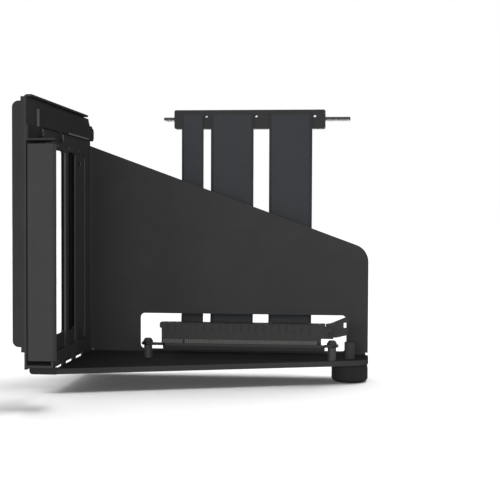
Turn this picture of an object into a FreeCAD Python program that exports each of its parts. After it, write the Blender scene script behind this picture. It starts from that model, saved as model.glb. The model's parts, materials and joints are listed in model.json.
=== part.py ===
import FreeCAD, Part
import math
import os

from FreeCAD import Vector

# Vertical graphics card mount: a folded sheet steel body that carries a slot wall, a riser socket
# on a small board, three flat riser ribbons with their edge plug, and one adjustable foot.
# X runs along the side panel, Y away from the viewer, Z up. The places below are counted from where
# the outer face of the slot wall, the front face of the panel and the top of the base meet. The last
# step moves the origin to the bottom centre of the mount, on the floor.

# Riser socket
socket_left = 46.3
socket_length = 89.0
socket_right = socket_left + socket_length
socket_width = 7.5
socket_height = 10.7
socket_raise = 3.1
socket_raised_length = 2.1
socket_end_step = 1.0
socket_end_step_height = 7.9
mouth_width = 2.0
mouth_depth = 8.0
mouth_left = socket_left + 1.7
mouth_right = socket_right - 3.9
key_place = socket_left + 14.0
key_width = 1.9
groove_start = 2.2
groove_pitch = 4.0
groove_width = 1.3
groove_depth = 0.4
groove_height = 4.6
groove_count = int((mouth_right - mouth_left - groove_start) / groove_pitch)
pin_left = socket_left + 2.3
pin_end_room = 4.2
pin_pitch = 1.0
pin_width = 0.65
pin_reach = 1.6
pin_height = 1.9
pin_thick = 0.5
pin_key = 11
pin_key_gap = 1.0
pin_count = int((socket_right - pin_end_room - pin_left - pin_key_gap) / pin_pitch) + 1

# Sheet body
sheet = 1.0
bend = 1.0
wall_depth = 121.6
wall_near = -wall_depth
wall_top = 132.2
wall_far_top = wall_top - 1.0
wall_far_edge = -bend
wall_low_near = 6.2
lip_width = 3.7
lip_far = -16.6
lip_bend = 0.6
wall_chamfer_run = 4.2
wall_chamfer_drop = 4.7
relief = 1.3
relief_top = 0.8
corner_relief = 1.0

# Base plate
base_gap = 0.3
base_depth_left = 75.7
base_depth_right = 24.0
base_corner = 10.0
hem_height = 2.85
hem_back = -8.0
wall_step = 3.2 - base_depth_left

# Retaining bar and its screws
bar_drop = 5.0
bar_width = 8.2
bar_high = wall_top - bar_drop
bar_low = bar_high - bar_width
bar_setback = 17.2
bar_near = wall_near + bar_setback
bar_far = 2.4
bar_thick = 1.3
bar_tip = 1.0
bar_corner = 1.6
ear_width = 5.0
ear_drop = 5.0
ear_corner = 1.2
bar_screw_pitch = 35.2
bar_screw_first = bar_near + ear_width / 2
bar_screw_places = (bar_screw_first, bar_screw_first + bar_screw_pitch)
bar_screw_height = bar_low - 2.9
bar_screw_radius = 1.4
bar_screw_head = 2.1
bar_screw_head_thick = 1.1
hole_room = 0.1

# Side panel
panel_margin = 23.2
panel_right = socket_right + panel_margin
panel_top_left = bar_low - 2.3
panel_slope = 0.366
panel_corner = 10.0
opening_left = socket_left - 16.4
opening_right = socket_right + 11.2
opening_low = 1.5
opening_high = 21.7
opening_corner = 2.5

# Slots in the wall, counted from the viewer's side
slot_pitch = 20.32
slot_count = 4
slot_far_last = -12.56
slot_width = 15.3
slot_head = 22.0
slot_high = wall_top - slot_head
wall_slot_low = 8.5
plate_slot_low = 16.0
slot_corner = 2.0
open_slots = 2
hook_hole_shift = 6.92
hook_hole_count = 3
hook_hole_length = 14.2
hook_hole_top = 2.2
bracket_hole_shift = 0.82
bracket_hole_height = slot_high + 2.0
bracket_hole_radius = 1.6

# Outer plate and slot blanks
plate_thick = 1.5
plate_low = 0.3
plate_high = wall_top - 0.9
plate_far = -2.0
plate_notch = 14.1
flange_depth = 4.0
flange_low = 16.5
flange_high = plate_high - 2.0
flange_corner = 3.0
blank_gap = 0.2
blank_thick = 1.0
grip_length = 6.0
grip_width = 2.8
grip_drop = 3.6

# Near channel and clamp shelf
channel_low = 10.2
channel_head = 22.45
channel_high = wall_top - channel_head
channel_width = 13.4
channel_leg = 13.0
channel_return = 3.0
channel_bend = 0.8
shelf_raise = 1.55
shelf_low = channel_high + shelf_raise
shelf_thick = 0.9
shelf_reach = 13.5
shelf_depth = 19.0
shelf_front = 4.0
shelf_end = 2.0
shelf_leg_height = 7.3
shelf_leg_gap = 0.1
shelf_leg_depth = bar_setback - shelf_leg_gap

# Sill and the corner pad under it
sill_low = 7.15
sill_width = channel_width + 0.1
sill_depth = 11.0
sill_taper_end = 24.0
sill_lip_height = 2.85
pad_left = 2.2
pad_right = sheet + sill_width + 0.1
pad_setback = 0.4
pad_depth = 3.0
pad_height = 3.05
pad_corner = 1.6

# Adjustable foot
foot_x = panel_right - 10.0
foot_y = 5.5 - base_depth_right
foot_radius = 9.8
foot_gap = 0.25
foot_floor = -12.0
foot_chamfer = 1.2
foot_sole = 3.0
stud_radius = 2.0
stud_top = 7.5
sleeve_radius = 2.9
sleeve_height = 9.0
thread_gap = 0.3

# Riser board, standoffs and screws
board_bottom = 7.1
board_thick = 1.6
seat = board_bottom + board_thick
post_places = (socket_left - 7.0, socket_right + 3.7)
post_y = -2.2 - base_depth_right
post_radius = 2.25
post_bore = 1.45
board_left = socket_left + 1.7
board_right = socket_right + 0.2
board_near = post_y - 6.1
board_back = post_y + 8.7
board_corner = 1.5
tab_radius = 3.5
underlay_thick = 1.8
underlay_inset = 0.4
board_screw_shank = 1.3
board_screw_reach = 3.6
board_screw_tip_gap = 0.5
board_screw_head = 2.7
board_screw_head_thick = 2.0

# Socket latch
latch_x = socket_right + 2.7
latch_z = seat + 5.5
latch_right = latch_x + 9.8
latch_boss = 2.0
latch_pin = 0.8
latch_side_gap = 0.3
latch_pin_gap = 0.2
latch_left_gap = 0.35
latch_shoulder = 5.6
latch_nose = 8.7
latch_tip = 9.4
latch_notch_low = 3.0
latch_notch_high = 6.4
latch_notch_depth = 2.6
cheek = 1.0
cheek_reach = 1.8
cheek_height = 3.4

# Riser ribbons: where each one starts along the socket, and its width
ribbon_places = (("ribbon_left", 5.5, 12.6), ("ribbon_middle", 22.3, 24.5), ("ribbon_right", 55.7, 24.5))
ribbon_edges = {}
for name, shift, width in ribbon_places:
    ribbon_edges[name] = (socket_left + shift, socket_left + shift + width)
ribbon_thick = 1.2
ribbon_top = 134.8
ribbon_back = 10.2
ribbon_route = (
    (board_back, board_bottom - 0.1),
    (1.5, board_bottom - 0.5),
    (ribbon_back - 0.6, 13.5),
    (ribbon_back + 0.4, 30.0),
    (ribbon_back, ribbon_top),
)

# Edge plug: the moulded bar and the card in it
bar_gap = 0.05
plug_front = ribbon_back + ribbon_thick / 2 + bar_gap
plug_left = ribbon_edges["ribbon_left"][0] - 4.5
plug_right = ribbon_edges["ribbon_right"][1] + 7.3
plug_high = ribbon_top + 2.7
plug_low = plug_high - 10.7
plug_depth = 6.2
plug_round = 1.0
plug_hole_radius = 0.8
plug_hole_height = plug_high - 3.6
plug_hole_shift = 1.3
card_left = plug_left - 6.2
card_right = plug_right + 14.1
card_low = plug_low + 5.0
card_thick = 1.6
card_front = plug_front + 1.15
card_shoulder = card_front + 10.0
card_tongue = card_shoulder + 8.0
card_corner = 1.2
tongue_left = plug_left + 1.2
tongue_right = plug_right - 0.6
notch_place = tongue_left + 12.3
notch_width = 1.9
card_gap = 0.1


def box(x0, x1, y0, y1, z0, z1):
    return Part.makeBox(x1 - x0, y1 - y0, z1 - z0, Vector(x0, y0, z0))


def post(radius, low, high, x, y):
    return Part.makeCylinder(radius, high - low, Vector(x, y, low))


def pin_x(radius, x0, x1, y, z):
    return Part.makeCylinder(radius, x1 - x0, Vector(x0, y, z), Vector(1, 0, 0))


def headed_pin(tip, seat, shank, head, thick):
    """A plain shank from its tip to the seat, with a tapered head beyond it."""
    way = seat - tip
    length = way.Length
    way.normalize()
    body = Part.makeCylinder(shank, length, tip, way)
    cap = Part.makeCone(head, head * 0.8, thick, seat, way)
    return body.fuse(cap).removeSplitter()


def outline(start, steps):
    """A closed wire: each step is a point for a line, or a (middle, end) pair of points for an arc."""
    edges = []
    here = start
    for step in steps:
        if isinstance(step, tuple):
            edges.append(Part.Arc(here, step[0], step[1]).toShape())
            here = step[1]
        else:
            edges.append(Part.LineSegment(here, step).toShape())
            here = step
    if here.distanceToPoint(start) > 1e-6:
        edges.append(Part.LineSegment(here, start).toShape())
    return Part.Wire(edges)


def prism(wire, way):
    return Part.Face(wire).extrude(way)


def on_turn(centre, radius, degrees, across, up):
    """The point on a circle, measured from across towards up."""
    a = math.radians(degrees)
    return centre + across * (radius * math.cos(a)) + up * (radius * math.sin(a))


def rounded_slot(plane, low, high, depth_from, depth_to, radius):
    """A rounded rectangular cutter through X or Y, between two opposite corners."""
    if plane == "YZ":
        tool = box(depth_from, depth_to, low[0], high[0], low[1], high[1])
        way = Vector(1, 0, 0)
    else:
        tool = box(low[0], high[0], depth_from, depth_to, low[1], high[1])
        way = Vector(0, 1, 0)
    edges = [e for e in tool.Edges if abs(e.tangentAt(e.FirstParameter).dot(way)) > 0.99]
    return tool.makeFillet(radius, edges)


def folded_corner():
    """The slot wall and side panel as one strip seen from above, from the base's underside up."""
    inner = bend
    outer = bend + sheet
    centre = Vector(sheet + bend, -bend, -sheet)
    across = Vector(-1, 0, 0)
    ahead = Vector(0, 1, 0)
    low = -sheet
    start = Vector(0, wall_near, low)
    steps = [
        Vector(0, -bend, low),
        (on_turn(centre, outer, 45, across, ahead), Vector(centre.x, sheet, low)),
        Vector(panel_right, sheet, low),
        Vector(panel_right, 0, low),
        Vector(centre.x, 0, low),
        (on_turn(centre, inner, 45, across, ahead), Vector(sheet, -bend, low)),
        Vector(sheet, wall_near, low),
    ]
    strip = prism(outline(start, steps), Vector(0, 0, wall_top - low))
    return strip.cut(box(centre.x, panel_right + 1, -bend, sheet + 1, low - 1, bend))


def above_panel():
    """What is cut away over the panel's slanting top edge and its round right corner."""
    reach = 1.0
    height = panel_top_left - panel_slope * panel_right
    slant = math.atan(panel_slope)
    turn = math.pi / 2 - slant
    tangent = panel_corner * math.tan(turn / 2)
    begin_x = panel_right - tangent * math.cos(slant)
    begin = Vector(begin_x, wall_far_edge, height + tangent * math.sin(slant))
    end = Vector(panel_right, wall_far_edge, height - tangent)
    centre = Vector(panel_right - panel_corner, wall_far_edge, height - tangent)
    middle = on_turn(centre, panel_corner, math.degrees(turn) / 2, Vector(1, 0, 0), Vector(0, 0, 1))
    start = Vector(-reach, wall_far_edge, panel_top_left + panel_slope * reach)
    steps = [
        begin,
        (middle, end),
        Vector(panel_right + reach, wall_far_edge, end.z),
        Vector(panel_right + reach, wall_far_edge, wall_top + reach),
        Vector(-reach, wall_far_edge, wall_top + reach),
    ]
    return prism(outline(start, steps), Vector(0, sheet - wall_far_edge + reach, 0))


def wall_corner_cut():
    """What is cut away beyond the wall's slanting far top corner."""
    start = Vector(-1, wall_far_edge - wall_chamfer_run, wall_far_top)
    steps = [
        Vector(-1, wall_far_edge + 1, wall_far_top),
        Vector(-1, wall_far_edge + 1, wall_far_top - wall_chamfer_drop),
        Vector(-1, wall_far_edge, wall_far_top - wall_chamfer_drop),
    ]
    return prism(outline(start, steps), Vector(sheet + 2, 0, 0))


def top_lip():
    """The wall's top edge folded inward."""
    inner = lip_bend
    outer = lip_bend + sheet
    centre = Vector(outer, wall_near, wall_top - outer)
    across = Vector(-1, 0, 0)
    up = Vector(0, 0, 1)
    start = Vector(0, wall_near, centre.z)
    steps = [
        (on_turn(centre, outer, 45, across, up), Vector(outer, wall_near, wall_top)),
        Vector(lip_width, wall_near, wall_top),
        Vector(lip_width, wall_near, wall_top - sheet),
        Vector(outer, wall_near, wall_top - sheet),
        (on_turn(centre, inner, 45, across, up), Vector(sheet, wall_near, centre.z)),
    ]
    return prism(outline(start, steps), Vector(0, lip_far - wall_near, 0))


def base_outline(inset, height):
    """The base plate's edge seen from above, moved inward along its tapered front."""
    left = sheet + base_gap
    taper = (base_depth_left - base_depth_right) / panel_right
    slant = math.atan(taper)
    radius = base_corner - inset
    corner_x = panel_right - base_corner
    corner_y = taper * corner_x - base_depth_left + base_corner / math.cos(slant)
    centre = Vector(corner_x, corner_y, height)
    across = Vector(1, 0, 0)
    ahead = Vector(0, 1, 0)
    touch = on_turn(centre, radius, math.degrees(slant) - 90, across, ahead)
    middle = on_turn(centre, radius, (math.degrees(slant) - 90) / 2, across, ahead)
    start = Vector(left, touch.y - taper * (touch.x - left), height)
    steps = [
        touch,
        (middle, Vector(corner_x + radius, corner_y, height)),
        Vector(corner_x + radius, -bend - relief, height),
        Vector(panel_right - relief, -bend - relief, height),
        Vector(panel_right - relief, -bend, height),
        Vector(left + corner_relief, -bend, height),
        Vector(left + corner_relief, -bend - corner_relief, height),
        Vector(left, -bend - corner_relief, height),
    ]
    return outline(start, steps)


def base_plate():
    plate = prism(base_outline(0, -sheet), Vector(0, 0, sheet))
    hem = prism(base_outline(0, -hem_height), Vector(0, 0, hem_height - sheet))
    hem = hem.cut(prism(base_outline(sheet, -hem_height - 1), Vector(0, 0, hem_height + 1)))
    hem = hem.cut(box(-1, panel_right + 1, hem_back, 2, -hem_height - 1, 1))
    hem = hem.cut(box(-1, sheet + base_gap + sheet, wall_step, 2, -hem_height - 1, 1))
    plate = plate.fuse(hem)
    return plate.fuse(long_fold(sheet + base_gap + corner_relief, panel_right - relief))


def long_fold(x0, x1):
    """The round fold between the base and the side panel."""
    inner = bend
    outer = bend + sheet
    centre = Vector(x0, -bend, bend)
    ahead = Vector(0, 1, 0)
    down = Vector(0, 0, -1)
    start = Vector(x0, sheet, bend)
    steps = [
        (on_turn(centre, outer, 45, ahead, down), Vector(x0, -bend, -sheet)),
        Vector(x0, -bend, 0),
        (on_turn(centre, inner, 45, ahead, down), Vector(x0, 0, bend)),
    ]
    return prism(outline(start, steps), Vector(x1 - x0, 0, 0))


def slot_span(k):
    far = slot_far_last - (slot_count - 1 - k) * slot_pitch
    return far - slot_width, far


def slot_windows(x0, x1, low):
    """One wide window over the open slots and one for each closed slot."""
    spans = [(slot_span(0)[0], slot_span(open_slots - 1)[1])]
    spans += [slot_span(k) for k in range(open_slots, slot_count)]
    return [rounded_slot("YZ", (a, low), (b, slot_high), x0, x1, slot_corner) for a, b in spans]


def sill():
    """The tapered shelf folded from the wall's near bottom edge, with its upturned lip."""
    start = Vector(sheet, wall_near, sill_low)
    steps = [
        Vector(sill_width, wall_near, sill_low),
        Vector(sill_width, wall_near + sill_depth, sill_low),
        Vector(sheet, wall_near + sill_taper_end, sill_low),
    ]
    flat = prism(outline(start, steps), Vector(0, 0, sheet))
    lip_top = sill_low + sill_lip_height
    lip = box(sill_width - sheet, sill_width, wall_near, wall_near + sill_depth, sill_low, lip_top)
    return flat.fuse(lip)


def body_sheet():
    body = folded_corner().cut(above_panel())
    body = body.cut(box(-1, sheet + lip_width, lip_far, 1, wall_far_top, wall_top + 1))
    fold_low = wall_top - lip_bend - sheet
    body = body.cut(box(-1, sheet + lip_width, wall_near - 1, lip_far, fold_low, wall_top + 1))
    body = body.cut(box(-1, sheet + 1, wall_near - 1, wall_step, -sheet - 1, wall_low_near))
    body = body.cut(wall_corner_cut())
    body = body.fuse([top_lip(), base_plate(), sill()])
    body = body.cut(box(panel_right - relief, panel_right + 1, -bend, sheet + 1, -sheet - 1, relief_top))
    low = (opening_left, opening_low)
    high = (opening_right, opening_high)
    opening = rounded_slot("XZ", low, high, -1, sheet + 1, opening_corner)
    cutters = [opening] + slot_windows(-1, sheet + 0.5, wall_slot_low)
    for k in range(hook_hole_count):
        middle = slot_span(k)[1] + hook_hole_shift
        near = middle - hook_hole_length / 2
        far = middle + hook_hole_length / 2
        cutters.append(box(-1, sheet + base_gap / 2, near, far, -sheet - 1, hook_hole_top))
    cutters += bracket_holes()
    for place in bar_screw_places:
        cutters.append(pin_x(bar_screw_radius + hole_room, -1, sheet + 1, place, bar_screw_height))
    cutters.append(post(stud_radius + thread_gap, -sheet - 1, 1, foot_x, foot_y))
    return body.cut(cutters).removeSplitter()


def bracket_holes():
    """One screw hole over each slot, through the wall and the outer plate."""
    places = [slot_span(k)[0] + bracket_hole_shift for k in range(slot_count)]
    near = -plate_thick - 1
    return [pin_x(bracket_hole_radius, near, sheet + 1, y, bracket_hole_height) for y in places]


def outer_plate():
    plate = box(-plate_thick, 0, wall_near, plate_far, plate_low, plate_high)
    plate = plate.cut(box(-plate_thick - 1, 1, wall_near - 1, wall_step, plate_low - 1, plate_notch))
    for y in (wall_near, plate_far - plate_thick):
        tip = -plate_thick - flange_depth
        flange = box(tip, -plate_thick, y, y + plate_thick, flange_low, flange_high)
        across = [e for e in flange.Edges if abs(e.tangentAt(e.FirstParameter).y) > 0.99]
        rim = [e for e in across if e.CenterOfMass.x < tip + 0.1]
        plate = plate.fuse(flange.makeFillet(flange_corner, rim))
    cutters = slot_windows(-plate_thick - 0.5, 1, plate_slot_low)
    cutters += bracket_holes()
    for place in bar_screw_places:
        cutters.append(pin_x(bar_screw_radius, -plate_thick - 1, 1, place, bar_screw_height))
    return plate.cut(cutters).removeSplitter()


def slot_blanks():
    """Two blanks: one fills the wall's last window, the other the outer plate's window before it."""
    blanks = []
    for k, x0 in ((slot_count - 2, -plate_thick), (slot_count - 1, sheet - blank_thick)):
        near, far = slot_span(k)
        low = (near + blank_gap, plate_slot_low + blank_gap)
        high = (far - blank_gap, slot_high - blank_gap)
        blank = rounded_slot("YZ", low, high, x0, x0 + blank_thick, slot_corner - blank_gap)
        top = high[1] - grip_drop
        side = low[0] + 1.0
        grip = box(x0 - 1, x0 + blank_thick + 1, side, side + grip_length, top - grip_width, top)
        blanks.append(blank.cut(grip))
    return Part.Compound(blanks)


def near_channel():
    """The folded channel that faces the viewer, seen from above and raised to its height."""
    inner = channel_bend
    outer = channel_bend + sheet
    left = sheet
    right = sheet + channel_width
    near = wall_near
    z = channel_low
    first = Vector(left + outer, near + outer, z)
    second = Vector(right - outer, near + outer, z)
    back = Vector(0, -1, 0)
    start = Vector(left, near + channel_leg, z)
    steps = [
        Vector(left, near + outer, z),
        (on_turn(first, outer, 45, Vector(-1, 0, 0), back), Vector(first.x, near, z)),
        Vector(second.x, near, z),
        (on_turn(second, outer, 45, Vector(1, 0, 0), back), Vector(right, second.y, z)),
        Vector(right, near + channel_return, z),
        Vector(right - sheet, near + channel_return, z),
        Vector(right - sheet, second.y, z),
        (on_turn(second, inner, 45, Vector(1, 0, 0), back), Vector(second.x, near + sheet, z)),
        Vector(first.x, near + sheet, z),
        (on_turn(first, inner, 45, Vector(-1, 0, 0), back), Vector(left + sheet, first.y, z)),
        Vector(left + sheet, near + channel_leg, z),
    ]
    return prism(outline(start, steps), Vector(0, 0, channel_high - channel_low))


def clamp_shelf():
    """A small angle over the channel: a tapered shelf and a leg on the wall."""
    z = shelf_low
    start = Vector(sheet, wall_near, z)
    steps = [
        Vector(sheet + shelf_reach, wall_near, z),
        Vector(sheet + shelf_reach, wall_near + shelf_front, z),
        Vector(sheet + shelf_thick + shelf_end, wall_near + shelf_depth, z),
        Vector(sheet, wall_near + shelf_depth, z),
    ]
    shelf = prism(outline(start, steps), Vector(0, 0, shelf_thick))
    leg_far = wall_near + shelf_leg_depth
    leg = box(sheet, sheet + shelf_thick, wall_near, leg_far, shelf_low, shelf_low + shelf_leg_height)
    return shelf.fuse(leg).removeSplitter()


def retaining_bar():
    outer = sheet + bar_thick
    bar = box(sheet, outer, bar_near, bar_far, bar_low, bar_high)
    bar = bar.cut(box(0, outer + 1, wall_far_edge - 0.5, bar_far + 1, bar_high - bar_tip, bar_high + 1))
    across = [e for e in bar.Edges if abs(e.tangentAt(e.FirstParameter).x) > 0.99]
    bar = bar.makeChamfer(bar_corner, [e for e in across if e.CenterOfMass.y > bar_far - 0.1])
    for place in bar_screw_places:
        near = place - ear_width / 2
        low = bar_low - ear_drop
        ear = box(sheet, outer, near, near + ear_width, low, bar_low + ear_corner)
        across = [e for e in ear.Edges if abs(e.tangentAt(e.FirstParameter).x) > 0.99]
        corners = [e for e in across if e.CenterOfMass.z < low + 0.1]
        bar = bar.fuse(ear.makeChamfer(ear_corner, corners))
    for place in bar_screw_places:
        bar = bar.cut(pin_x(bar_screw_radius + hole_room, 0, outer + 1, place, bar_screw_height))
    return bar.removeSplitter()


def bar_screws():
    screws = []
    for place in bar_screw_places:
        tip = Vector(-plate_thick, place, bar_screw_height)
        seat_point = Vector(sheet + bar_thick, place, bar_screw_height)
        screws.append(headed_pin(tip, seat_point, bar_screw_radius, bar_screw_head, bar_screw_head_thick))
    return Part.Compound(screws)


def corner_pad():
    near = wall_near + pad_setback
    low = sill_low - pad_height
    pad = box(pad_left, pad_right, near, near + pad_depth, low, sill_low)
    edge = [e for e in pad.Edges if e.CenterOfMass.x < pad_left + 0.1 and e.CenterOfMass.z < low + 0.1]
    return pad.makeFillet(pad_corner, edge)


def foot_pad():
    top = -hem_height - foot_gap
    pad = post(foot_radius, foot_floor, top, foot_x, foot_y)
    rim = [e for e in pad.Edges if abs(e.CenterOfMass.z - foot_floor) < 1e-6 and e.Length > 10]
    pad = pad.makeChamfer(foot_chamfer, rim)
    return pad.cut(post(stud_radius, foot_floor + foot_sole, top + 1, foot_x, foot_y))


def foot_stud():
    return post(stud_radius, foot_floor + foot_sole, stud_top, foot_x, foot_y)


def foot_sleeve():
    sleeve = post(sleeve_radius, 0, sleeve_height, foot_x, foot_y)
    return sleeve.cut(post(stud_radius + thread_gap, -1, sleeve_height + 1, foot_x, foot_y))


def socket_board():
    board = box(board_left, board_right, board_near, board_back, board_bottom, seat)
    corners = [e for e in board.Edges if abs(e.tangentAt(e.FirstParameter).z) > 0.99]
    board = board.makeChamfer(board_corner, corners)
    for x in post_places:
        inward = board_left + 2 * board_corner if x < board_left else board_right - 2 * board_corner
        x0, x1 = sorted((x, inward))
        strap = box(x0, x1, post_y - tab_radius, post_y + tab_radius, board_bottom, seat)
        board = board.fuse([post(tab_radius, board_bottom, seat, x, post_y), strap])
    for x in post_places:
        board = board.cut(post(post_bore, board_bottom - 1, seat + 1, x, post_y))
    return board.removeSplitter()


def board_underlay():
    """The insulating sheet under the board."""
    low = board_bottom - underlay_thick
    inset = underlay_inset
    near = board_near + inset
    return box(board_left + inset, board_right - inset, near, board_back - inset, low, board_bottom)


def board_standoffs():
    posts = []
    low = board_bottom - board_screw_reach - board_screw_tip_gap
    for x in post_places:
        standoff = post(post_radius, 0, board_bottom, x, post_y)
        posts.append(standoff.cut(post(post_bore, low, board_bottom + 1, x, post_y)))
    return Part.Compound(posts)


def board_screws():
    screws = []
    for x in post_places:
        tip = Vector(x, post_y, board_bottom - board_screw_reach)
        seat_point = Vector(x, post_y, seat)
        pin = headed_pin(tip, seat_point, board_screw_shank, board_screw_head, board_screw_head_thick)
        screws.append(pin)
    return Part.Compound(screws)


def socket_housing():
    top = seat + socket_height
    near = post_y - socket_width / 2
    far = post_y + socket_width / 2
    raised = seat + socket_raise
    housing = box(socket_left, socket_right, near, far, seat, top)
    under = box(socket_right - socket_raised_length, socket_right + 1, near - 1, far + 1, seat - 1, raised)
    step_x = socket_left + socket_end_step
    step_top = seat + socket_end_step_height
    end_step = box(socket_left - 1, step_x, near - 1, far + 1, seat - 1, step_top)
    housing = housing.cut([under, end_step])
    cheek_end = latch_x + cheek_reach
    cheek_top = latch_z + cheek_height
    cheeks = [
        box(socket_right, cheek_end, near, near + cheek, raised, cheek_top),
        box(socket_right, cheek_end, far - cheek, far, raised, cheek_top),
    ]
    housing = housing.fuse(cheeks)
    mouth_near = post_y - mouth_width / 2
    mouth_far = post_y + mouth_width / 2
    floor = top - mouth_depth
    hole = Vector(latch_x, near - 1, latch_z)
    cutters = [
        box(mouth_left, key_place - key_width / 2, mouth_near, mouth_far, floor, top + 1),
        box(key_place + key_width / 2, mouth_right, mouth_near, mouth_far, floor, top + 1),
        Part.makeCylinder(latch_pin + latch_pin_gap, socket_width + 2, hole, Vector(0, 1, 0)),
    ]
    for k in range(groove_count):
        x = mouth_left + groove_start + k * groove_pitch
        low = top - groove_height
        high = top - 2 * groove_depth
        cutters.append(box(x, x + groove_width, near - 1, near + groove_depth, low, high))
        cutters.append(box(x, x + groove_width, far - groove_depth, far + 1, low, high))
    return housing.cut(cutters).removeSplitter()


def contact_foot(x, face, way):
    """One contact outside the housing: a leg that widens into its foot on the board."""
    start = Vector(x, face, seat)
    steps = [
        Vector(x, face + way * pin_reach, seat),
        Vector(x, face + way * pin_thick, seat + pin_height),
        Vector(x, face, seat + pin_height),
    ]
    return prism(outline(start, steps), Vector(pin_width, 0, 0))


def socket_contacts():
    feet = []
    for face, way in ((post_y - socket_width / 2, -1), (post_y + socket_width / 2, 1)):
        for k in range(pin_count):
            shift = pin_key_gap if k >= pin_key else 0
            x = pin_left - pin_width / 2 + k * pin_pitch + shift
            feet.append(contact_foot(x, face, way))
    return Part.Compound(feet)


def socket_latch():
    """The end latch: a boss on two pins, and an arm with a notched outer edge."""
    near = post_y - socket_width / 2 + cheek + latch_side_gap
    far = post_y + socket_width / 2 - cheek - latch_side_gap
    left = socket_right + latch_left_gap
    inner = latch_right - latch_notch_depth
    profile = [
        (left, 0),
        (left, latch_shoulder - 0.4),
        (left + 2.8, latch_shoulder),
        (latch_right - 1.9, latch_nose),
        (latch_right, latch_tip),
        (latch_right, latch_notch_high),
        (inner, latch_notch_high - 0.2),
        (inner, latch_notch_low + 0.2),
        (latch_right, latch_notch_low),
        (latch_right - 0.8, -0.4),
        (latch_x + 3.2, -1.8),
        (latch_x, -1.5),
    ]
    points = [Vector(x, near, latch_z + z) for x, z in profile]
    arm = prism(outline(points[0], points[1:]), Vector(0, far - near, 0))
    turn = Vector(0, 1, 0)
    boss = Part.makeCylinder(latch_boss, far - near, Vector(latch_x, near, latch_z), turn)
    span = socket_width - 2 * latch_pin_gap
    pins = Part.makeCylinder(latch_pin, span, Vector(latch_x, post_y - span / 2, latch_z), turn)
    return arm.fuse([boss, pins]).removeSplitter()


def ribbon_path(x):
    """The ribbon's middle line: straight runs joined by tangent arcs in one upright plane."""
    points = [Vector(x, y, z) for y, z in ribbon_route]
    edges = []
    here = points[0]
    for before, corner, after in zip(points, points[1:], points[2:]):
        back = before - corner
        ahead = after - corner
        tangent = 0.45 * min(back.Length, ahead.Length)
        back.normalize()
        ahead.normalize()
        half_turn = (math.pi - back.getAngle(ahead)) / 2
        radius = tangent / math.tan(half_turn)
        begin = corner + back * tangent
        end = corner + ahead * tangent
        inward = back + ahead
        inward.normalize()
        centre = corner + inward * (radius / math.cos(half_turn))
        middle = centre - inward * radius
        edges.append(Part.LineSegment(here, begin).toShape())
        edges.append(Part.Arc(begin, middle, end).toShape())
        here = end
        print("ribbon bend radius %.1f" % radius)
    edges.append(Part.LineSegment(here, points[-1]).toShape())
    return Part.Wire(edges)


def ribbon(x0, x1):
    path = ribbon_path(x0)
    y, z = ribbon_route[0]
    half = ribbon_thick / 2
    section = Part.makePolygon(
        [
            Vector(x0, y, z - half),
            Vector(x1, y, z - half),
            Vector(x1, y, z + half),
            Vector(x0, y, z + half),
            Vector(x0, y, z - half),
        ]
    )
    solid = path.makePipeShell([section], True, False)
    expected = path.Length * ribbon_thick * (x1 - x0)
    print("ribbon length %.1f, volume %.0f of %.0f" % (path.Length, solid.Volume, expected))
    return solid


def plug_bar():
    back = plug_front + plug_depth
    bar = box(plug_left, plug_right, plug_front, back, plug_low, plug_high)
    bar = bar.makeFillet(plug_round, [e for e in bar.Edges if abs(e.tangentAt(e.FirstParameter).y) > 0.99])
    low = card_low - card_gap
    high = card_low + card_thick + card_gap
    bar = bar.cut(box(plug_left - 1, plug_right + 1, card_front - card_gap, back + 1, low, high))
    for _, edge in ribbon_edges.values():
        place = Vector(edge + plug_hole_shift, plug_front - 1, plug_hole_height)
        bar = bar.cut(Part.makeCylinder(plug_hole_radius, plug_depth + 2, place, Vector(0, 1, 0)))
    return bar


def plug_board():
    """The edge card: a wide shoulder held by the bar and a tongue for the gold fingers."""
    top = card_low + card_thick
    shoulder = box(card_left, card_right, card_front, card_shoulder, card_low, top)
    tongue = box(tongue_left, tongue_right, card_shoulder - 1, card_tongue, card_low, top)
    upright = [e for e in tongue.Edges if abs(e.tangentAt(e.FirstParameter).z) > 0.99]
    tongue = tongue.makeChamfer(card_corner, [e for e in upright if e.CenterOfMass.y > card_tongue - 0.1])
    left = notch_place - notch_width / 2
    right = notch_place + notch_width / 2
    notch = box(left, right, card_shoulder + 1, card_tongue + 1, card_low - 1, top + 1)
    return shoulder.fuse(tongue).cut(notch).removeSplitter()


nodes = {
    "body_sheet": body_sheet,
    "outer_plate": outer_plate,
    "slot_blanks": slot_blanks,
    "near_channel": near_channel,
    "clamp_shelf": clamp_shelf,
    "retaining_bar": retaining_bar,
    "bar_screws": bar_screws,
    "corner_pad": corner_pad,
    "foot_pad": foot_pad,
    "foot_stud": foot_stud,
    "foot_sleeve": foot_sleeve,
    "socket_board": socket_board,
    "board_underlay": board_underlay,
    "board_standoffs": board_standoffs,
    "board_screws": board_screws,
    "socket_housing": socket_housing,
    "socket_contacts": socket_contacts,
    "socket_latch": socket_latch,
    "plug_bar": plug_bar,
    "plug_board": plug_board,
}

middle_x = (panel_right - plate_thick - flange_depth) / 2
middle_y = (wall_near + bar_far) / 2
home = Vector(-middle_x, -middle_y, -foot_floor)

os.makedirs("parts", exist_ok=True)
for name, (x0, x1) in ribbon_edges.items():
    nodes[name] = lambda x0=x0, x1=x1: ribbon(x0, x1)
for name, make in nodes.items():
    make().translated(home).exportStep("parts/%s.step" % name)
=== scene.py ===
import json
import math

import bmesh
import bpy
from mathutils import Matrix, Vector

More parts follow.
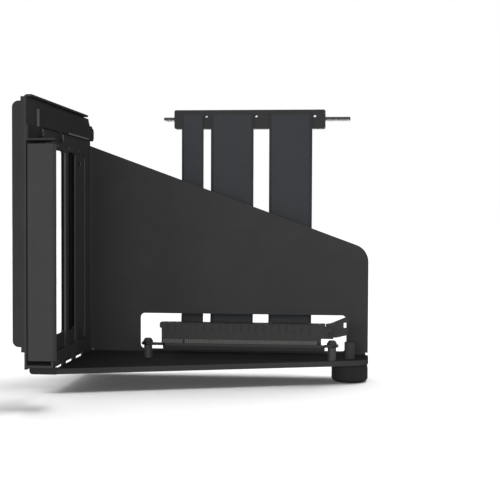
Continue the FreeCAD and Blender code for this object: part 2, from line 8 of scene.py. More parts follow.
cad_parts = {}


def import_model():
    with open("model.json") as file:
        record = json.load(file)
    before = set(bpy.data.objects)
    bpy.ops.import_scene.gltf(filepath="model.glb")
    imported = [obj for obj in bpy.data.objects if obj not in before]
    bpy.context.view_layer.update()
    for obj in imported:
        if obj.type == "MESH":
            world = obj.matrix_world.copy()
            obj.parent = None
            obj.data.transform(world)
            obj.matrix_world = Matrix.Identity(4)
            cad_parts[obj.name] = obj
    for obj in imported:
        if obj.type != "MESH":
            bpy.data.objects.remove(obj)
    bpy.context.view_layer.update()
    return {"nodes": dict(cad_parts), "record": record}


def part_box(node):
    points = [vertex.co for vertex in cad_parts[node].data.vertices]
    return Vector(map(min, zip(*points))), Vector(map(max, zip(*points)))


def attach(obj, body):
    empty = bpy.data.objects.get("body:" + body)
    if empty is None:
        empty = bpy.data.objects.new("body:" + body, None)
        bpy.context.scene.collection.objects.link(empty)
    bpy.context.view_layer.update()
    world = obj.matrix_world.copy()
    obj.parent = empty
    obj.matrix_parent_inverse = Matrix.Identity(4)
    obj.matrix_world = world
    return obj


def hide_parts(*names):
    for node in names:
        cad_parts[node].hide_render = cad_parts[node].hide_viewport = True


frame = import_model()
nodes = frame["nodes"]
mounts = {mount["name"]: Vector(mount["pos_m"]) for mount in frame["record"]["mounts"]}

# Lengths are in metres, and MM turns a small size given in millimetres into them
MM = 0.001
SLOT_PITCH = 20.32 * MM
CONTACT_PITCH = 1.0 * MM


# Camera
LENS = 77.07
SENSOR = 36
CAMERA_YAW = -5.428
CAMERA_PITCH = 1.894
CAMERA_ROLL = 0.240
CAMERA_PLACE = Vector((0.07265, -0.5392, 0.0898))


def aim_camera():
    """A camera at the photograph's viewing angle, which looks nearly level and a little to the left."""
    yaw, pitch, roll = (math.radians(a) for a in (CAMERA_YAW, CAMERA_PITCH, CAMERA_ROLL))
    level = Vector((math.sin(yaw), math.cos(yaw), 0))
    side = Vector((math.cos(yaw), -math.sin(yaw), 0))
    up = Vector((0, 0, 1))
    ahead = level * math.cos(pitch) - up * math.sin(pitch)
    lift = up * math.cos(pitch) + level * math.sin(pitch)
    right = side * math.cos(roll) + lift * math.sin(roll)
    top = lift * math.cos(roll) - side * math.sin(roll)
    data = bpy.data.cameras.new("camera")
    data.sensor_width = SENSOR
    data.lens = LENS
    data.clip_start = 0.01
    data.clip_end = 20
    camera = bpy.data.objects.new("camera", data)
    bpy.context.collection.objects.link(camera)
    turn = Matrix((right, top, -ahead)).transposed().to_4x4()
    camera.matrix_world = Matrix.Translation(CAMERA_PLACE) @ turn
    bpy.context.scene.camera = camera


aim_camera()


# Materials
class Shader:
    """A node material with a few short ways to add and join nodes."""

    def __init__(self, name):
        self.mat = bpy.data.materials.new(name)
        self.mat.use_nodes = True
        self.tree = self.mat.node_tree
        self.tree.nodes.clear()
        self.out = self.add("ShaderNodeOutputMaterial")
        self.skin = self.add("ShaderNodeBsdfPrincipled")
        self.join(self.skin, "BSDF", self.out, "Surface")
        self.place = self.add("ShaderNodeTexCoord")

    def add(self, kind, **settings):
        node = self.tree.nodes.new(kind)
        for key, value in settings.items():
            setattr(node, key, value)
        return node

    def join(self, a, out, b, into):
        self.tree.links.new(a.outputs[out], b.inputs[into])

    def noise(self, scale, detail, stretch=None, rough=0.5):
        """Noise on the object's own coordinates, stretched by a scale for each axis if one is given."""
        node = self.add("ShaderNodeTexNoise")
        node.inputs["Scale"].default_value = scale
        node.inputs["Detail"].default_value = detail
        node.inputs["Roughness"].default_value = rough
        if stretch:
            mapping = self.add("ShaderNodeMapping")
            mapping.inputs["Scale"].default_value = stretch
            self.join(self.place, "Object", mapping, "Vector")
            self.join(mapping, "Vector", node, "Vector")
        else:
            self.join(self.place, "Object", node, "Vector")
        return node

    def span(self, source, out, low, high, from_low=0.3, from_high=0.7):
        """Maps a value, by default the middle part of a noise, to the range from low to high."""
        node = self.add("ShaderNodeMapRange")
        node.inputs["From Min"].default_value = from_low
        node.inputs["From Max"].default_value = from_high
        node.inputs["To Min"].default_value = low
        node.inputs["To Max"].default_value = high
        self.join(source, out, node, "Value")
        return node

    def blend(self, factor, out, first, second):
        """Mixes two colours, each a tuple or another mix node."""
        node = self.add("ShaderNodeMix", data_type="RGBA")
        self.join(factor, out, node, "Factor")
        for socket, colour in (("A", first), ("B", second)):
            target = [i for i in node.inputs if i.name == socket and i.type == "RGBA"][0]
            if isinstance(colour, tuple):
                target.default_value = (*colour, 1.0)
            else:
                self.tree.links.new(mixed(colour), target)
        return node

    def bump(self, source, out, strength, distance, below=None):
        node = self.add("ShaderNodeBump")
        node.inputs["Strength"].default_value = strength
        node.inputs["Distance"].default_value = distance
        self.join(source, out, node, "Height")
        if below:
            self.join(below, "Normal", node, "Normal")
        return node

    def facing(self, way, limits):
        """A mask of the faces that look one way, within limits such as ("X", "below", 0.01), in metres."""
        look = self.add("ShaderNodeNewGeometry")
        dot = self.add("ShaderNodeVectorMath", operation="DOT_PRODUCT")
        dot.inputs[1].default_value = way
        self.join(look, "Normal", dot, 0)
        apart = self.add("ShaderNodeSeparateXYZ")
        self.join(self.place, "Object", apart, "Vector")
        mask = self.span(dot, "Value", 0.0, 1.0, 0.75, 0.95)
        for axis, side, edge in limits:
            reach = 0.1 * MM if side == "above" else -0.1 * MM
            within = self.span(apart, axis, 0.0, 1.0, edge - reach, edge + reach)
            both = self.add("ShaderNodeMath", operation="MULTIPLY")
            self.join(mask, 0, both, 0)
            self.join(within, 0, both, 1)
            mask = both
        return mask


def mixed(node):
    """The colour output of a mix node."""
    return [o for o in node.outputs if o.type == "RGBA"][0]


def grey(level, cool=0.001):
    """A grey that is a trace cooler than neutral, unless cool is 0."""
    return (level, level, level + cool)


def coated(name, tone, edge, rough, grain, depth, specular, metallic=0.0, painted_faces=()):
    """A coat or moulding: fine grain, faint patches, edges paler as rubbed wear and painted highlight, and
    painted highlights and painted shade on faces that look one way.
    """
    s = Shader(name)
    fine = s.noise(grain, 3.0)
    wide = s.noise(70.0, 4.0, rough=0.6)
    shade = s.span(wide, "Fac", 0.0, 1.0)
    dark = tuple(c * 0.95 for c in tone)
    pale = tuple(c * 1.05 for c in tone)
    colour = s.blend(shade, "Result", dark, pale)
    # Edges paler by pointiness: partly rubbed wear, partly a painted highlight along the edges
    corner = s.add("ShaderNodeNewGeometry")
    edge_wear_and_highlight = s.span(corner, "Pointiness", 0.0, 0.6, 0.53, 0.66)
    wear_and_painted_light = s.blend(edge_wear_and_highlight, "Result", colour, edge)
    # Painted highlights and painted shade: faces that look one way, within the given limits, take the given
    # tone
    for painted_tone, way, *limits in painted_faces:
        wear_and_painted_light = s.blend(s.facing(way, limits), 0, wear_and_painted_light, painted_tone)
    s.tree.links.new(mixed(wear_and_painted_light), s.skin.inputs["Base Color"])
    gloss = s.span(fine, "Fac", rough - 0.06, rough + 0.08)
    s.join(gloss, "Result", s.skin, "Roughness")
    relief = s.bump(fine, "Fac", 0.35, depth)
    s.join(relief, "Normal", s.skin, "Normal")
    s.skin.inputs["Metallic"].default_value = metallic
    s.skin.inputs["Specular IOR Level"].default_value = specular
    return s.mat


def powder_coat(name, tone, edge, rough=0.70, specular=0.0, painted_faces=()):
    """Matte black powder coat on sheet steel."""
    return coated(name, grey(tone), grey(edge), rough, 2600.0, 0.04 * MM, specular, painted_faces=painted_faces)


def plated(name, tone, rough, stretch):
    """Plated metal with fine lengthwise brushing."""
    s = Shader(name)
    fine = s.noise(3000.0, 2.0, stretch)
    wide = s.noise(180.0, 2.0)
    shade = s.span(wide, "Fac", 0.0, 1.0)
    colour = s.blend(shade, "Result", tuple(c * 0.86 for c in tone), tone)
    s.tree.links.new(mixed(colour), s.skin.inputs["Base Color"])
    gloss = s.span(fine, "Fac", rough - 0.07, rough + 0.1)
    s.join(gloss, "Result", s.skin, "Roughness")
    relief = s.bump(fine, "Fac", 0.25, 0.01 * MM)
    s.join(relief, "Normal", s.skin, "Normal")
    s.skin.inputs["Metallic"].default_value = 1.0
    return s.mat


def jacket():
    """The ribbons' sheath: cool dark film over parallel leads, one to a millimetre, with faint creases."""
    s = Shader("ribbon_sheath")
    leads = s.add("ShaderNodeTexWave", wave_type="BANDS", bands_direction="X", wave_profile="SIN")
    leads.inputs["Scale"].default_value = 314.0
    leads.inputs["Distortion"].default_value = 0.15
    leads.inputs["Detail"].default_value = 1.0
    s.join(s.place, "Object", leads, "Vector")
    fine = s.noise(2400.0, 2.0)
    wide = s.noise(45.0, 3.0, (1.0, 1.0, 0.35))
    shade = s.span(wide, "Fac", 0.0, 1.0)
    colour = s.blend(shade, "Result", (0.0122, 0.0146, 0.0180), (0.0156, 0.0186, 0.0226))
    s.tree.links.new(mixed(colour), s.skin.inputs["Base Color"])
    gloss = s.span(fine, "Fac", 0.48, 0.60)
    s.join(gloss, "Result", s.skin, "Roughness")
    first = s.bump(leads, "Fac", 0.12, 0.02 * MM)
    second = s.bump(fine, "Fac", 0.15, 0.01 * MM, first)
    s.join(second, "Normal", s.skin, "Normal")
    s.skin.inputs["Specular IOR Level"].default_value = 0.2
    return s.mat


def board_lacquer():
    """Black board lacquer over a faint weave, with a slight gloss."""
    s = Shader("board_lacquer")
    weave = s.add("ShaderNodeTexWave", wave_type="BANDS", bands_direction="DIAGONAL", wave_profile="TRI")
    weave.inputs["Scale"].default_value = 420.0
    weave.inputs["Distortion"].default_value = 1.2
    s.join(s.place, "Object", weave, "Vector")
    wide = s.noise(90.0, 3.0)
    shade = s.span(wide, "Fac", 0.0, 1.0)
    colour = s.blend(shade, "Result", (0.007, 0.0073, 0.0080), (0.010, 0.0103, 0.0110))
    s.tree.links.new(mixed(colour), s.skin.inputs["Base Color"])
    gloss = s.span(weave, "Fac", 0.30, 0.38, 0.0, 1.0)
    s.join(gloss, "Result", s.skin, "Roughness")
    relief = s.bump(weave, "Fac", 0.12, 0.015 * MM)
    s.join(relief, "Normal", s.skin, "Normal")
    s.skin.inputs["Specular IOR Level"].default_value = 0.2
    return s.mat


# Painted light on faces by the way they look: a painted highlight on the wall's window edges, painted shade
# on the plate's window edges and on the near blank's inner face, and a painted highlight on the bar's
# stepped edge and on a strip along it
FRONT = (0, -1, 0)
ACROSS = (1, 0, 0)
CLEARANCE = 0.1 * MM
STEP_HEIGHT = 5.0 * MM
HIGHLIGHT_STRIP_TALL = 1.0 * MM
HIGHLIGHT_STRIP_LONG = 42.4 * MM
HIGHLIGHT_STRIP_FAR_END = 12.0 * MM
bar_low, bar_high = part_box("retaining_bar")
step = bar_low.z + STEP_HEIGHT
highlight_strip_end = bar_high.y - HIGHLIGHT_STRIP_FAR_END
behind_end = ("Y", "above", bar_low.y - CLEARANCE)
in_wall = ("X", "below", bar_low.x + CLEARANCE)
over_step = ("Z", "above", step)
# The strip where a painted highlight lies on the bar's faces that look across, a band just over the step
strip = (
    over_step,
    ("Z", "below", step + HIGHLIGHT_STRIP_TALL),
    ("Y", "above", highlight_strip_end - HIGHLIGHT_STRIP_LONG),
    ("Y", "below", highlight_strip_end),
)
# Painted highlight: the wall's front-facing window edges paler than the coat
sheet_painted_highlight = ((grey(0.088), FRONT, in_wall, behind_end),)
# Painted shade: the outer plate's front-facing window edges darker than the coat
plate_painted_shade = ((grey(0.009, 0), FRONT, behind_end),)
# Painted shade: the near blank's faces that look across, into the wall, darker than the coat
blank_painted_shade = ((grey(0.016), ACROSS),)
# Painted highlight: the bar's front faces over the step, and the strip along it, much paler than the coat
bar_painted_highlight = ((grey(0.150, 0.002), FRONT, over_step), (grey(0.170, 0.002), ACROSS, *strip))

powder = powder_coat("powder_coat", 0.052, 0.058, painted_faces=sheet_painted_highlight)
bar_powder = powder_coat("bar_powder_coat", 0.043, 0.050, painted_faces=bar_painted_highlight)
blank_powder = powder_coat("blank_powder_coat", 0.044, 0.052, rough=0.74, painted_faces=blank_painted_shade)
plate_powder = powder_coat("plate_powder_coat", 0.044, 0.058, painted_faces=plate_painted_shade)
channel_powder = powder_coat("channel_powder_coat", 0.047, 0.068, rough=0.66, specular=0.08)
moulded = coated(
    "moulded_black", grey(0.014), grey(0.040),
    rough=0.50, grain=5200.0, depth=0.02 * MM, specular=0.15,
)
socket_black = coated(
    "socket_black", grey(0.016, 0), grey(0.034, 0),
    rough=0.46, grain=6000.0, depth=0.015 * MM, specular=0.18,
)
rubber = coated(
    "foot_rubber", grey(0.021, 0), grey(0.030, 0),
    rough=0.80, grain=3600.0, depth=0.05 * MM, specular=0.10,
)
oxide = coated(
    "black_oxide", grey(0.038), grey(0.070),
    rough=0.58, grain=4200.0, depth=0.02 * MM, specular=0.2, metallic=0.1,
)
dull_oxide = coated(
    "dull_black_oxide", grey(0.016), grey(0.022, 0),
    rough=0.62, grain=4200.0, depth=0.02 * MM, specular=0.1,
)
film = coated(
    "insulating_film", grey(0.008, 0), grey(0.014, 0),
    rough=0.46, grain=1800.0, depth=0.01 * MM, specular=0.1,
)
tinned = plated("tinned_contact", (0.115, 0.112, 0.106), 0.42, (1.0, 1.0, 0.2))
gold = plated("gold_plate", (0.78, 0.56, 0.24), 0.26, (1.0, 0.2, 1.0))
sheath = jacket()
lacquer = board_lacquer()

FINISHES = {
    "body_sheet": powder,
    "outer_plate": plate_powder,
    "near_channel": channel_powder,
    "clamp_shelf": plate_powder,
    "retaining_bar": bar_powder,
    "corner_pad": rubber,
    "foot_pad": rubber,
    "foot_stud": oxide,
    "foot_sleeve": powder,
    "socket_board": lacquer,
    "board_underlay": film,
    "board_standoffs": oxide,
    "board_screws": oxide,
    "socket_housing": socket_black,
    "socket_contacts": tinned,
    "socket_latch": socket_black,
    "plug_bar": moulded,
    "plug_board": lacquer,
}
for name, finish in FINISHES.items():
    for slot in nodes[name].material_slots:
        slot.material = finish


# Rounded edges on the carried-over pieces
EDGE_ROUNDS = {
    "body_sheet": 0.18 * MM,
    "outer_plate": 0.22 * MM,
    "near_channel": 0.18 * MM,
    "clamp_shelf": 0.15 * MM,
    "retaining_bar": 0.18 * MM,
    "corner_pad": 0.25 * MM,
    "foot_sleeve": 0.20 * MM,
    "socket_board": 0.10 * MM,
    "socket_housing": 0.15 * MM,
    "socket_latch": 0.20 * MM,
    "plug_bar": 0.25 * MM,
    "plug_board": 0.10 * MM,
}


def soften(piece, width):
    """A weld, because each flat of the frame comes with its own corners, and a small round on its edges."""
    weld = piece.modifiers.new("weld", "WELD")
    weld.merge_threshold = 0.002 * MM
    edge = piece.modifiers.new("edge", "BEVEL")
    edge.width = width
    edge.segments = 2
    edge.limit_method = "ANGLE"
    edge.angle_limit = math.radians(32)
    edge.harden_normals = True
    edge.use_clamp_overlap = True


for name, width in EDGE_ROUNDS.items():
    soften(nodes[name], width)


# Mesh helpers
def piece_from(name, bm, material, body="mount", smooth=None):
    """Links a finished bmesh as a piece that rides on a body, with edges over smooth degrees kept sharp."""
    bmesh.ops.recalc_face_normals(bm, faces=bm.faces)
    mesh = bpy.data.meshes.new(name)
    bm.to_mesh(mesh)
    bm.free()
    mesh.materials.append(material)
    piece = bpy.data.objects.new(name, mesh)
    bpy.context.collection.objects.link(piece)
    if smooth is not None:
        mesh.shade_smooth()
        mesh.set_sharp_from_angle(angle=math.radians(smooth))
    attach(piece, body)
    return piece


def block(bm, low, high):
    """A box between two points."""
    points = [(x, y, z) for x in (low.x, high.x) for y in (low.y, high.y) for z in (low.z, high.z)]
    corners = [bm.verts.new(point) for point in points]
    for a, b, c, d in ((0, 1, 3, 2), (4, 6, 7, 5), (0, 4, 5, 1), (2, 3, 7, 6), (0, 2, 6, 4), (1, 5, 7, 3)):
        bm.faces.new([corners[i] for i in (a, b, c, d)])


def bridge(bm, one, two):
    """Faces between two closed rings of equal count."""
    count = len(one)
    for i in range(count):
        j = (i + 1) % count
        bm.faces.new((one[i], one[j], two[j], two[i]))


def loft(bm, rings, top_closed=True):
    """Joins rings of equal count, each a list of points, into a skin. Returns the last ring's corners."""
    made = [[bm.verts.new(point) for point in ring] for ring in rings]
    for one, two in zip(made, made[1:]):
        bridge(bm, one, two)
    bm.faces.new(made[0])
    if top_closed:
        bm.faces.new(list(reversed(made[-1])))
    return made[-1]


def turned_rings(middle, way, profile, segments):
    """Rings round an axis through middle along way: profile holds (radius, height) pairs in mm."""
    side = way.orthogonal().normalized()
    other = way.cross(side)
    rings = []
    for radius, height in profile:
        ring = []
        for i in range(segments):
            turn = 2 * math.pi * i / segments
            out = side * math.cos(turn) + other * math.sin(turn)
            ring.append(middle + out * radius * MM + way * height * MM)
        rings.append(ring)
    return rings


# Gold fingers on the plug's tongue
TONGUE_WIDE = 84.7 * MM
FINGER_COUNT = 83
FINGER_KEY = range(10, 13)
FINGER_HALF = 0.34 * MM
FINGER_MARGIN = 1.1 * MM
FINGER_BACK = 7.3 * MM
FINGER_TIP = 0.5 * MM
SHORT_TIP = 1.9 * MM
FINGER_SUNK = 0.02 * MM
FINGER_PROUD = 0.05 * MM


def gold_fingers():
    """Both rows of fingers, with the key's gap and the one short finger beside it."""
    low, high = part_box("plug_board")
    first = mounts["riser_plug"].x - TONGUE_WIDE / 2 + FINGER_MARGIN
    rows = ((high.z - FINGER_SUNK, high.z + FINGER_PROUD), (low.z - FINGER_PROUD, low.z + FINGER_SUNK))
    bm = bmesh.new()
    for k in range(FINGER_COUNT):
        if k in FINGER_KEY:
            continue
        x = first + k * CONTACT_PITCH
        tip = SHORT_TIP if k == FINGER_KEY.stop else FINGER_TIP
        for bottom, top in rows:
            near = Vector((x - FINGER_HALF, high.y - FINGER_BACK, bottom))
            far = Vector((x + FINGER_HALF, high.y - tip, top))
            block(bm, near, far)
    return piece_from("gold_fingers", bm, gold)


# Riser ribbons: the route's (y, z) points, from the board's back edge up to the plug
ROUTE = ((0.0421, 0.0190), (0.0611, 0.0186), (0.0692, 0.0255), (0.0702, 0.0420), (0.0698, 0.1468))
RIBBON_THICK = 1.2 * MM
LEAD_PITCH = 1.0 * MM
RIM_WIDE = 0.9 * MM
RIM_SLOPE = 0.3 * MM
RIM_ROUND = 0.2 * MM
LEADS_SPARE = 0.8 * MM


def route_points(x):
    """Points along the route's smooth curve, for a ribbon whose middle lies at x."""
    curve = bpy.data.curves.new("route", "CURVE")
    curve.dimensions = "3D"
    curve.resolution_u = 24
    spline = curve.splines.new("NURBS")
    spline.points.add(len(ROUTE) - 1)
    for point, (y, z) in zip(spline.points, ROUTE):
        point.co = (x, y, z, 1.0)
    spline.order_u = 3
    spline.use_endpoint_u = True
    holder = bpy.data.objects.new("route", curve)
    bpy.context.collection.objects.link(holder)
    mesh = bpy.data.meshes.new_from_object(holder.evaluated_get(bpy.context.evaluated_depsgraph_get()))
    points = [v.co.copy() for v in mesh.vertices]
    bpy.data.objects.remove(holder)
    bpy.data.curves.remove(curve)
    bpy.data.meshes.remove(mesh)
    return points


def ribbon_section(width):
    """A ribbon's outline across its width, as (x, t) pairs: thin welded rims and ribs over the leads."""
    half = width / 2
    thick = RIBBON_THICK * 0.5
    thin = RIBBON_THICK * 0.30
    rim = [
        (half, thin * 0.55),
        (half - RIM_ROUND, thin),
        (half - RIM_WIDE, thin),
        (half - RIM_WIDE - RIM_SLOPE, thick * 0.93),
    ]
    upper = [(-x, t) for x, t in rim]
    leads = int((width - 2 * RIM_WIDE - LEADS_SPARE) / LEAD_PITCH)
    for k in range(leads):
        x = (k - leads / 2) * LEAD_PITCH
        upper += [(x + 0.1 * LEAD_PITCH, thick * 0.94), (x + 0.5 * LEAD_PITCH, thick)]
    upper += rim[::-1]
    return upper + [(x, -t) for x, t in reversed(upper)]


def ribbon(name):
    """One flat ribbon along the route."""
    low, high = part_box(name)
    width = high.x - low.x
    points = route_points((low.x + high.x) / 2)
    section = ribbon_section(width)
    rings = []
    for i, p in enumerate(points):
        ahead = points[min(i + 1, len(points) - 1)] - points[max(i - 1, 0)]
        out = Vector((1, 0, 0)).cross(ahead.normalized())
        rings.append([p + Vector((x, 0, 0)) + out * t for x, t in section])
    bm = bmesh.new()
    loft(bm, rings)
    piece = piece_from(name + "_sheath", bm, sheath, smooth=50)
    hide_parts(name)


fingers = gold_fingers()
for name in ("ribbon_left", "ribbon_middle", "ribbon_right"):
    ribbon(name)


# Spring leaves inside the socket's mouth, each a bent strip: (from the middle, from the top) in mm
LEAF_LINE = ((0.94, -1.0), (0.80, -1.5), (0.46, -3.4), (0.52, -4.2), (0.92, -7.4))
LEAF_COUNT = 83
LEAF_KEY = (11, 12)
LEAF_START = 41.9 * MM
LEAF_HALF = 0.25 * MM
LEAF_THICK = 0.09 * MM


def socket_leaves():
    """Two facing rows of leaves, the first one LEAF_START to the left of the socket's middle."""
    low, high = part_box("socket_housing")
    middle = (low.y + high.y) / 2
    first = mounts["riser_socket"].x - LEAF_START
    corners = ((-LEAF_HALF, 0), (LEAF_HALF, 0), (LEAF_HALF, LEAF_THICK), (-LEAF_HALF, LEAF_THICK))
    bm = bmesh.new()
    for side in (-1, 1):
        for k in range(LEAF_COUNT):
            if k in LEAF_KEY:
                continue
            x = first + k * CONTACT_PITCH
            rings = []
            for off, down in LEAF_LINE:
                z = high.z + down * MM
                rings.append([Vector((x + dx, middle + side * (off * MM - dy), z)) for dx, dy in corners])
            loft(bm, rings)
    piece_from("socket_leaves", bm, gold)


socket_leaves()


# Screws with a cross recess: head profiles are (radius, height) pairs in mm
BAR_SCREW = (
    (1.4, -3.8), (1.4, 0.0), (1.98, 0.0), (2.1, 0.12), (2.1, 0.35), (1.98, 0.66), (1.7, 0.92), (1.3, 1.05),
)
BOARD_SCREW = (
    (1.3, -5.2), (1.3, 0.0), (2.55, 0.0), (2.7, 0.15), (2.7, 0.5), (2.5, 0.68), (2.28, 0.72), (2.2, 1.15),
    (1.95, 1.6), (1.6, 1.87), (1.3, 1.95),
)
BAR_RECESS = 0.6 * MM
BOARD_RECESS = 0.9 * MM
RECESS_ARM = 1.0 * MM
RECESS_HALF = 0.26 * MM
RECESS_TAPER = 0.55
SCREW_SIDES = 40


def cross_outline():
    """The recess's outline from above, as twelve (side, other) pairs."""
    quarter = ((RECESS_ARM, RECESS_HALF), (RECESS_HALF, RECESS_HALF), (RECESS_HALF, RECESS_ARM))
    line = []
    for _ in range(4):
        line += quarter
        quarter = tuple((-b, a) for a, b in quarter)
    return line


def cross_screw(bm, middle, way, profile, depth):
    """A turned screw along way, with a cross recess in its top."""
    top_ring = loft(bm, turned_rings(middle, way, profile, SCREW_SIDES), top_closed=False)
    side = way.orthogonal().normalized()
    other = way.cross(side)
    top = profile[-1][1] * MM
    loops = []
    for scale, height in ((1.0, top), (RECESS_TAPER, top - depth)):
        points = [middle + (side * a + other * b) * scale + way * height for a, b in cross_outline()]
        loops.append([bm.verts.new(point) for point in points])
    bridge(bm, *loops)
    bm.faces.new(loops[1])
    rim = []
    for ring in (top_ring, loops[0]):
        for a, b in zip(ring, ring[1:] + ring[:1]):
            rim.append(bm.edges.get((a, b)) or bm.edges.new((a, b)))
    bmesh.ops.triangle_fill(bm, use_beauty=True, edges=rim)


def bar_screws():
    """The two screws that hold the retaining bar's ears, on the bar's inner face."""
    low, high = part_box("bar_screws")
    radius = (high.z - low.z) / 2
    bm = bmesh.new()
    for y in (low.y + radius, high.y - radius):
        seat = Vector((bar_high.x, y, low.z + radius))
        cross_screw(bm, seat, Vector((1, 0, 0)), BAR_SCREW, BAR_RECESS)
    piece = piece_from("bar_screw_heads", bm, dull_oxide, smooth=35)
    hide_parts("bar_screws")


def board_screws():
    """The two screws that stand on the riser board's ends."""
    low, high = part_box("board_screws")
    radius = (high.y - low.y) / 2
    board_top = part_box("socket_board")[1].z
    bm = bmesh.new()
    for x in (low.x + radius, high.x - radius):
        seat = Vector((x, low.y + radius, board_top))
        cross_screw(bm, seat, Vector((0, 0, 1)), BOARD_SCREW, BOARD_RECESS)
    piece = piece_from("board_screw_heads", bm, oxide, smooth=35)
    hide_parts("board_screws")


bar_screws()
board_screws()


# Slot blanks: thin plates with a grip hole near the top, one in the outer plate's window, one in the wall's
BLANK_LAP = 0.2 * MM
BLANK_ROUND = 1.8 * MM
OUTER_BLANK_THICK = 0.40 * MM
WALL_BLANK_THICK = 0.45 * MM
GRIP_NEAR = 1.0 * MM
GRIP_FAR = 7.0 * MM
GRIP_LOW = 6.6 * MM
GRIP_HIGH = 3.8 * MM
GRIP_ROUND = 0.3 * MM
GRIP_STEPS = 2


def rounded_rect(y0, y1, z0, z1, radius, steps=5):
    """Corner points of a rounded rectangle in the wall's plane, as (y, z) pairs."""
    line = []
    corners = (
        (y1 - radius, z1 - radius, 0),
        (y0 + radius, z1 - radius, 90),
        (y0 + radius, z0 + radius, 180),
        (y1 - radius, z0 + radius, 270),
    )
    for y, z, first in corners:
        for k in range(steps + 1):
            turn = math.radians(first + 90 * k / steps)
            line.append((y + radius * math.cos(turn), z + radius * math.sin(turn)))
    return line


def plate_with_hole(bm, outer, hole, x0, x1):
    """A flat plate between x0 and x1 with one hole, both outlines given as (y, z) pairs."""
    sides = []
    for x in (x0, x1):
        rings = [[bm.verts.new((x, y, z)) for y, z in line] for line in (outer, hole)]
        edges = []
        for ring in rings:
            for a, b in zip(ring, ring[1:] + ring[:1]):
                edges.append(bm.edges.new((a, b)))
        bmesh.ops.triangle_fill(bm, use_beauty=True, edges=edges)
        sides.append(rings)
    for one, two in zip(*sides):
        bridge(bm, one, two)


def slot_blanks():
    """Both blanks in one piece, a little taller than the solids, so that no light shows over them."""
    low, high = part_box("slot_blanks")
    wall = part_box("body_sheet")[0].x
    wide = high.y - low.y - SLOT_PITCH
    bottom = low.z - BLANK_LAP
    top = high.z + BLANK_LAP
    bm = bmesh.new()
    for near, x, thick in ((low.y, low.x, OUTER_BLANK_THICK), (low.y + SLOT_PITCH, wall, WALL_BLANK_THICK)):
        outer = rounded_rect(near, near + wide, bottom, top, BLANK_ROUND)
        grip = (near + GRIP_NEAR, near + GRIP_FAR, top - GRIP_LOW, top - GRIP_HIGH)
        hole = rounded_rect(*grip, GRIP_ROUND, GRIP_STEPS)
        plate_with_hole(bm, outer, hole, x, x + thick)
    middle = (low.y + high.y) / 2
    # The near blank takes the blank coat with its painted shade, the far blank the body's coat, though both
    # are the same kind of plate
    for face in bm.faces:
        face.material_index = int(face.calc_center_median().y > middle)
    piece = piece_from("slot_blank_plates", bm, blank_powder)
    piece.data.materials.append(powder)
    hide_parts("slot_blanks")


slot_blanks()


# Foot: (radius, height) pairs in mm, from its bore over the top and the side to the hollow underneath
FOOT_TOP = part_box("foot_pad")[1].z / MM
FOOT_PROFILE = (
    (2.0, 3.0), (2.0, FOOT_TOP), (8.7, FOOT_TOP), (9.35, FOOT_TOP - 0.15), (9.6, FOOT_TOP - 0.45),
    (9.6, FOOT_TOP - 1.3), (9.78, FOOT_TOP - 1.5), (9.78, 2.0), (9.6, 1.35), (9.1, 0.75), (8.5, 0.25),
    (8.0, 0.0), (5.5, 0.0), (5.3, 0.35), (0.01, 0.35),
)
FOOT_SIDES = 96


def foot():
    """The foot's turned pad, on the level that the mount stands on."""
    bm = bmesh.new()
    loft(bm, turned_rings(mounts["foot_face"], Vector((0, 0, 1)), FOOT_PROFILE, FOOT_SIDES))
    piece = piece_from("foot_rubber_pad", bm, rubber, "foot", 30)
    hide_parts("foot_pad")


foot()


# White floor and surroundings
WHITE_RAYS = ("Is Camera Ray", "Is Glossy Ray", "Is Transmission Ray")
FLOOR_REACH = 6


def floor_material():
    """Paper that shows white to the camera and in mirrors, and throws back less light on the object."""
    s = Shader("floor_paper")
    s.tree.nodes.remove(s.skin)
    seen = s.add("ShaderNodeBsdfDiffuse")
    unseen = s.add("ShaderNodeBsdfDiffuse")
    grain = s.noise(300.0, 3.0)
    shade = s.span(grain, "Fac", 0.0, 1.0)
    colour = s.blend(shade, "Result", grey(0.875, 0), grey(0.885, 0))
    s.tree.links.new(mixed(colour), seen.inputs["Color"])
    unseen.inputs["Color"].default_value = (*grey(0.28, 0), 1)
    path = s.add("ShaderNodeLightPath")
    last = (unseen, "BSDF")
    for ray in WHITE_RAYS:
        pick = s.add("ShaderNodeMixShader")
        s.join(path, ray, pick, "Fac")
        s.join(*last, pick, 1)
        s.join(seen, "BSDF", pick, 2)
        last = (pick, "Shader")
    s.join(*last, s.out, "Surface")
    return s.mat


def floor():
    """A wide flat floor at the level of the foot's face."""
    bm = bmesh.new()
    corners = [(x * FLOOR_REACH, y * FLOOR_REACH, 0) for x, y in ((-1, -1), (1, -1), (1, 1), (-1, 1))]
    bm.faces.new([bm.verts.new(corner) for corner in corners])
    mesh = bpy.data.meshes.new("floor")
    bm.to_mesh(mesh)
    bm.free()
    mesh.materials.append(floor_material())
    plane = bpy.data.objects.new("floor", mesh)
    bpy.context.collection.objects.link(plane)
    return plane


def world(ambient):
    """White to the camera and to what mirrors it, and a dimmer grey to what it lights."""
    made = bpy.data.worlds.new("studio")
    bpy.context.scene.world = made
    made.use_nodes = True
    tree = made.node_tree
    tree.nodes.clear()
    out = tree.nodes.new("ShaderNodeOutputWorld")
    path = tree.nodes.new("ShaderNodeLightPath")
    white = tree.nodes.new("ShaderNodeBackground")
    white.inputs["Color"].default_value = (1, 1, 1, 1)
    dim = tree.nodes.new("ShaderNodeBackground")
    dim.inputs["Color"].default_value = (*grey(ambient, 0), 1)
    seen = dim
    for ray in WHITE_RAYS:
        pick = tree.nodes.new("ShaderNodeMixShader")
        tree.links.new(path.outputs[ray], pick.inputs["Fac"])
        tree.links.new(seen.outputs[0], pick.inputs[1])
        tree.links.new(white.outputs["Background"], pick.inputs[2])
        seen = pick
    tree.links.new(seen.outputs[0], out.inputs["Surface"])


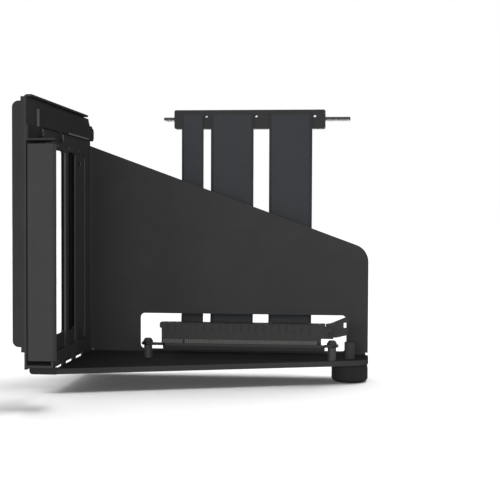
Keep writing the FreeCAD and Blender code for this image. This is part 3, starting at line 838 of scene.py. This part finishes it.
# Lamps: softboxes for the object, each (name, place, size, power), and suns for the floor alone, each
# (tilt sideways in degrees, share of the strength)
LAMP_TARGET = Vector((0, 0, 0.07))
SOFTBOXES = (
    ("front_lamp", (-0.05, -1.6, 0.25), (1.7, 0.9), 26),
    ("right_lamp", (1.4, -0.3, 0.30), (0.8, 0.8), 4.5),
    ("back_lamp", (-0.2, 1.6, 0.25), (1.4, 0.9), 19),
    ("left_lamp", (-1.5, -0.2, 0.35), (0.9, 0.9), 11),
)
FLOOR_SUNS = ((-42, 0.07), (-24, 0.05), (9, 0.52), (21, 0.23), (34, 0.13))
FLOOR_STRENGTH = 4.3
FILL_SHARE = 0.055
SUN_LEAN = -28
SUN_WIDTH = 50
SUN_PLACE = (0, 0, 2)
AMBIENT = 0.10
NO_FLOOR_SHADOW = ("near_channel", "corner_pad", "clamp_shelf", "retaining_bar", "outer_plate")


def lamp_object(name, data, place):
    lamp = bpy.data.objects.new(name, data)
    bpy.context.collection.objects.link(lamp)
    lamp.location = place
    return lamp


def softbox(name, place, size, power, spared):
    """A soft lamp on the object, which leaves the floor to its own lamps."""
    data = bpy.data.lights.new(name, "AREA")
    data.shape = "RECTANGLE"
    data.size, data.size_y = size
    data.energy = power
    lamp = lamp_object(name, data, place)
    lamp.rotation_euler = (LAMP_TARGET - Vector(place)).to_track_quat("-Z", "Y").to_euler()
    lamp.light_linking.receiver_collection = spared


def floor_lamps(lit, shading):
    """A row of suns from left to right that light the floor alone, as one long strip overhead would."""
    for tilt, share in FLOOR_SUNS:
        data = bpy.data.lights.new("floor_lamp", "SUN")
        data.energy = FLOOR_STRENGTH * share
        data.angle = math.radians(SUN_WIDTH)
        lamp = lamp_object("floor_lamp", data, SUN_PLACE)
        lamp.rotation_euler = (math.radians(SUN_LEAN), math.radians(tilt), 0)
        lamp.light_linking.receiver_collection = lit
        lamp.light_linking.blocker_collection = shading
    data = bpy.data.lights.new("floor_fill", "SUN")
    data.energy = FLOOR_STRENGTH * FILL_SHARE
    data.use_shadow = False
    lamp_object("floor_fill", data, SUN_PLACE).light_linking.receiver_collection = lit


def floor_links(plane):
    """Light links: the floor alone, all but the floor, and all but the pieces that shade no floor."""
    alone = bpy.data.collections.new("floor_alone")
    alone.objects.link(plane)
    spared = bpy.data.collections.new("floor_spared")
    spared.objects.link(plane)
    spared.collection_objects[0].light_linking.link_state = "EXCLUDE"
    shading = bpy.data.collections.new("floor_shading")
    for k, name in enumerate(NO_FLOOR_SHADOW):
        shading.objects.link(nodes[name])
        shading.collection_objects[k].light_linking.link_state = "EXCLUDE"
    return alone, spared, shading


alone, spared, shading = floor_links(floor())
world(AMBIENT)
floor_lamps(alone, shading)
for name, place, size, power in SOFTBOXES:
    softbox(name, place, size, power, spared)

bpy.context.scene.view_settings.view_transform = "Standard"
